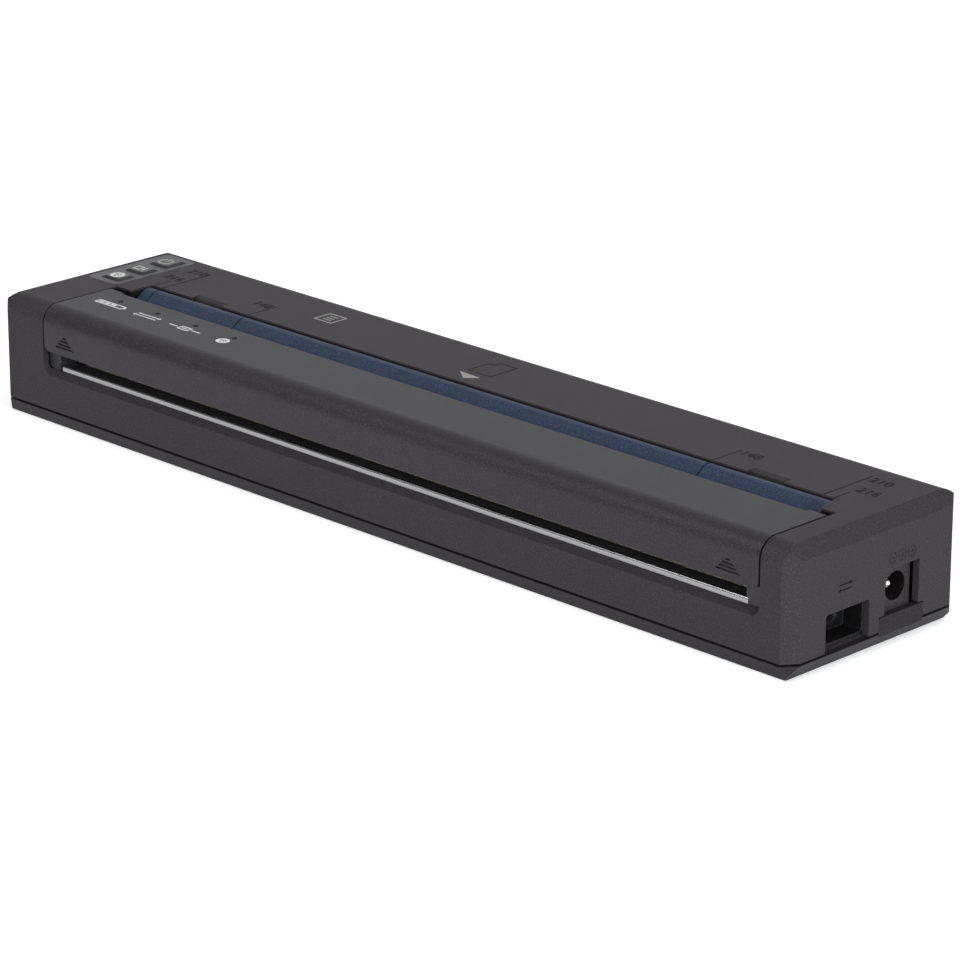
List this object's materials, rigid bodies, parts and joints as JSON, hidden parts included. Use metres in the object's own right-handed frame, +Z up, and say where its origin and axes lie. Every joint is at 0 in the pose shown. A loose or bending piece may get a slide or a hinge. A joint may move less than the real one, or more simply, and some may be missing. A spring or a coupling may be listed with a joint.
{
  "type": "portable thermal printer",
  "caption": "Bar-shaped portable direct-thermal printer for A4 sheets, with a hinged release cover, geared platen roller, sprung print head, keys, battery bay and end sockets.",
  "frame": {"origin": "centre of the footprint, on the surface that the rubber feet stand on", "axes": "+X along the body to the end with the sockets, +Y to the rear where the sheet goes in, -Y to the front where it comes out, +Z up"},
  "size_m": [0.255, 0.055, 0.0303],
  "materials": {
    "case": "fine sandblasted ABS, warm near-black",
    "base": "fine sandblasted ABS, warm near-black",
    "cover": "fine sandblasted ABS, dark grey",
    "frame": "moulded black plastic",
    "steel": "ground bright steel",
    "roller_rubber": "ground silicone rubber",
    "acetal": "natural acetal",
    "ceramic": "glazed ceramic strip",
    "alloy": "milled aluminium",
    "spring_steel": "bright spring wire",
    "zinc_sheet": "zinc plated sheet",
    "flex": "polyimide flat lead",
    "bright_steel": "polished steel",
    "guide_black": "moulded black plastic",
    "guide_blue": "fine textured dark blue ABS",
    "motor_can": "drawn steel can, plated",
    "brass": "turned brass",
    "board": "green solder resist",
    "chip": "moulded epoxy",
    "plated_shell": "nickel plated shell",
    "bezel_black": "moulded black plastic",
    "jack_black": "moulded black plastic",
    "panel": "satin grey plastic",
    "key": "satin grey plastic",
    "led": "resin lamp",
    "light_guide": "clear acrylic",
    "pack": "moulded black plastic",
    "cell": "shrink sleeve",
    "gold": "gold flash",
    "flag": "black acetal",
    "screw": "zinc plated screws",
    "feet": "rubber pads"
  },
  "bodies": {
    "body": {"main_case": "case", "base_cover": "base", "hinge_pins": "steel", "head_rod": "steel", "head_springs": "spring_steel", "chassis": "zinc_sheet", "head_flex": "flex", "tear_bar": "bright_steel", "exit_guide": "guide_black", "paper_guide": "guide_blue", "gear_plate": "zinc_sheet", "drive_motor": "motor_can", "gear_clips": "spring_steel", "main_board": "board", "board_parts": "chip", "port_board": "board", "usb_port": "plated_shell", "usb_bezel": "bezel_black", "dc_jack": "jack_black", "dc_pin": "bright_steel", "key_board": "board", "key_switches": "chip", "control_panel": "panel", "battery_pack": "pack", "battery_cells": "cell", "pack_contacts": "gold", "contact_block": "chip", "flag_pin": "steel", "paper_sensor": "chip", "case_screws": "screw", "frame_screws": "screw", "rubber_feet": "feet"},
    "cover": {"release_cover": "cover", "cover_frame": "frame", "platen_bushes": "acetal", "led_board": "board", "status_leds": "led", "light_guides": "light_guide"},
    "platen": {"platen_shaft": "steel", "platen_rubber": "roller_rubber", "platen_gear": "acetal"},
    "reduction": {"reduction_gear": "acetal"},
    "rotor": {"motor_pinion": "brass"},
    "head": {"thermal_head": "ceramic", "heat_sink": "alloy"},
    "wireless_key": {"wireless_button": "key"},
    "feed_key": {"feed_button": "key"},
    "power_key": {"power_button": "key"},
    "door": {"battery_door": "case"},
    "flag": {"paper_flag": "flag"}
  },
  "joints": [
    {"name": "cover_hinge", "type": "hinge", "parent": "body", "child": "cover", "pos_m": [0, -0.0088, 0.0266], "axis": [-1, 0, 0], "range_deg": [0, 65]},
    {"name": "platen_spin", "type": "hinge", "parent": "cover", "child": "platen", "pos_m": [0, -0.014, 0.0208], "axis": [1, 0, 0], "continuous": true},
    {"name": "reduction_spin", "type": "hinge", "parent": "body", "child": "reduction", "pos_m": [0, -0.00799, 0.01479], "axis": [1, 0, 0], "continuous": true},
    {"name": "motor_spin", "type": "hinge", "parent": "body", "child": "rotor", "pos_m": [0, -0.01783, 0.013], "axis": [1, 0, 0], "continuous": true},
    {"name": "head_tilt", "type": "hinge", "parent": "body", "child": "head", "pos_m": [0, -0.0078, 0.0126], "axis": [1, 0, 0], "range_deg": [0, 2.5], "stiffness_Nm_per_rad": 0.5, "springref_deg": -11.46, "deforming": ["head_springs"]},
    {"name": "wireless_press", "type": "slide", "parent": "body", "child": "wireless_key", "axis": [0, 0, -1], "range_m": [0, 0.00035], "stiffness_N_per_m": 1500, "springref_m": -0.0005},
    {"name": "feed_press", "type": "slide", "parent": "body", "child": "feed_key", "axis": [0, 0, -1], "range_m": [0, 0.00035], "stiffness_N_per_m": 1500, "springref_m": -0.0005},
    {"name": "power_press", "type": "slide", "parent": "body", "child": "power_key", "axis": [0, 0, -1], "range_m": [0, 0.00035], "stiffness_N_per_m": 1500, "springref_m": -0.0005},
    {"name": "battery_door_hinge", "type": "hinge", "parent": "body", "child": "door", "pos_m": [-0.1259, 0, 0.0061], "axis": [0, -1, 0], "range_deg": [0, 92]},
    {"name": "flag_swing", "type": "hinge", "parent": "body", "child": "flag", "pos_m": [0.0047, -0.0046, 0.0135], "axis": [-1, 0, 0], "range_deg": [0, 20], "stiffness_Nm_per_rad": 0.0003, "springref_deg": -17.19}
  ],
  "couplings": [
    {"joint": "reduction_spin", "follows": "platen_spin", "ratio": -1.4286},
    {"joint": "motor_spin", "follows": "platen_spin", "ratio": 4.2857}
  ]
}
